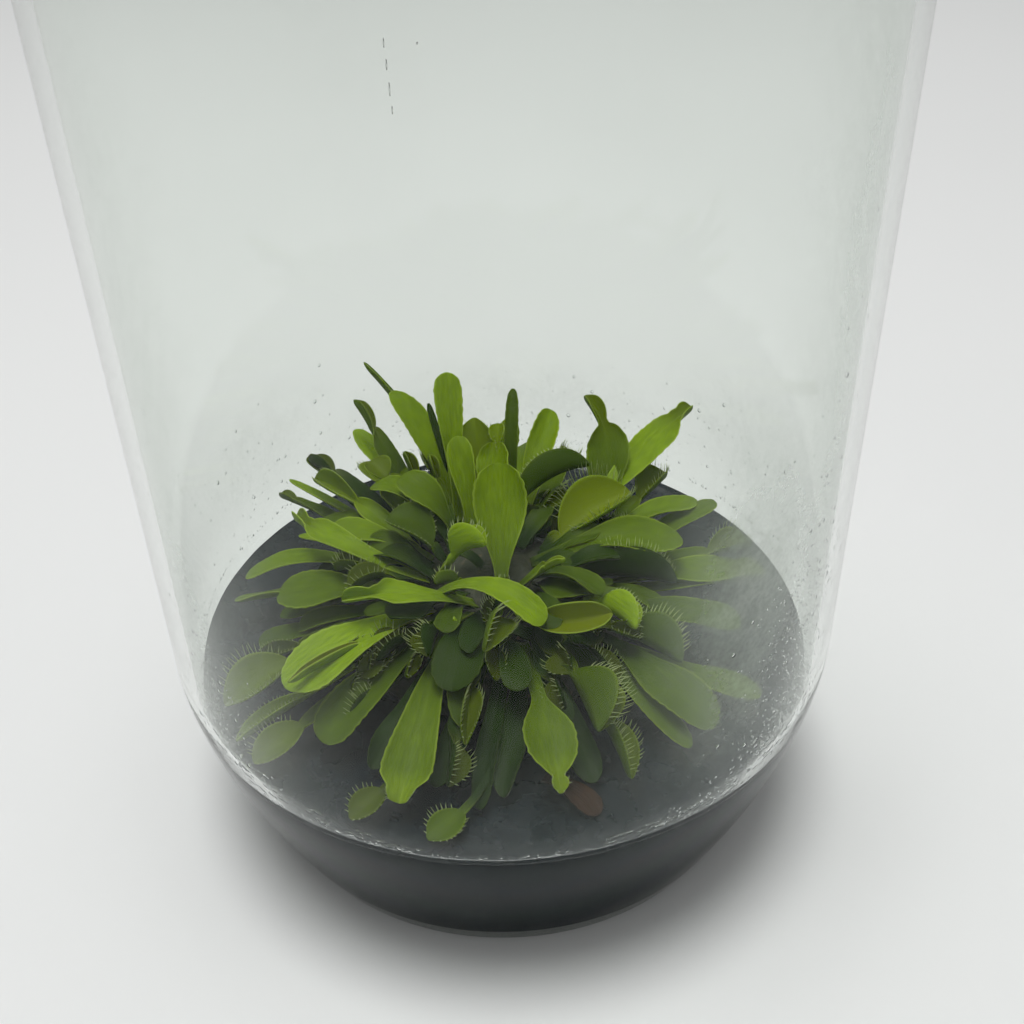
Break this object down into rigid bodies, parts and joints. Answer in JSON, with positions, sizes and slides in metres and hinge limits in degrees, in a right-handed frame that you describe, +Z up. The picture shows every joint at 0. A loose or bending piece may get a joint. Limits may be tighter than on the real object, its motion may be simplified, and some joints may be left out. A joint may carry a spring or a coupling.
{
  "type": "potted venus flytrap",
  "caption": "Clump of young Venus flytraps with toothed snap traps, growing on black charcoal gel in an open round glass jar.",
  "frame": {"origin": "centre of the jar's flat base, on the surface it stands on", "axes": "+Z up along the jar's axis, -Y towards the camera of the picture, +X to its right"},
  "size_m": [0.075, 0.075, 0.118],
  "materials": {
    "glass": "clear smooth glass, misted inside with fine condensation",
    "gel": "smooth wet charcoal gel",
    "rhizome": "rough brown-green leaf bases",
    "leaf": "satin leaf with pale thin edges",
    "dead_leaf": "dry brown leaf"
  },
  "bodies": {
    "root": {"glass_jar": "glass", "agar_gel": "gel", "rhizome_mound": "rhizome", "spear_leaf_back_left": "leaf", "spoon_leaf_back_left": "leaf", "folded_trap_back_left": "leaf", "open_trap_back_left": "leaf", "upright_leaf_back": "leaf", "oval_leaf_back_left": "leaf", "tongue_leaf_back_left": "leaf", "heart_trap_left": "leaf", "bright_trap_middle": "leaf", "great_spoon_leaf": "leaf", "olive_trap_back": "leaf", "folded_trap_far_left": "leaf", "toothed_trap_left": "leaf", "forked_leaf_far_left": "leaf", "long_leaf_left": "leaf", "oblong_leaf_left": "leaf", "pointed_leaf_left": "leaf", "broad_leaf_left": "leaf", "bright_leaf_left": "leaf", "golden_leaf_left": "leaf", "drooping_leaf_left": "leaf", "misty_trap_left": "leaf", "folded_trap_low_left": "leaf", "trap_on_gel_left": "leaf", "arching_leaf_middle": "leaf", "dark_leaf_front": "leaf", "ciliate_trap_front": "leaf", "folded_trap_front": "leaf", "dark_trap_front": "leaf", "spoon_leaf_front_left": "leaf", "round_trap_front_left": "leaf", "trap_on_gel_front": "leaf", "narrow_leaf_middle": "leaf", "ovate_leaf_middle": "leaf", "boat_trap_middle": "leaf", "bright_trap_right": "leaf", "round_trap_right": "leaf", "shaded_leaf_front": "leaf", "round_trap_front": "leaf", "spoon_leaf_front": "leaf", "narrow_leaf_front_right": "leaf", "folded_trap_front_right": "leaf", "misty_leaf_front_right": "leaf", "bud_leaf_back": "leaf", "oval_leaf_back_right": "leaf", "toothed_trap_back_right": "leaf", "great_trap_right": "leaf", "eared_leaf_back_right": "leaf", "long_leaf_right": "leaf", "misty_trap_back_right": "leaf", "blade_leaf_right": "leaf", "dark_trap_right": "leaf", "curled_leaf_right": "leaf", "misty_trap_right": "leaf", "misty_leaf_right": "leaf", "hidden_leaf_back": "leaf", "dead_leaf": "dead_leaf"}
  },
  "joints": []
}
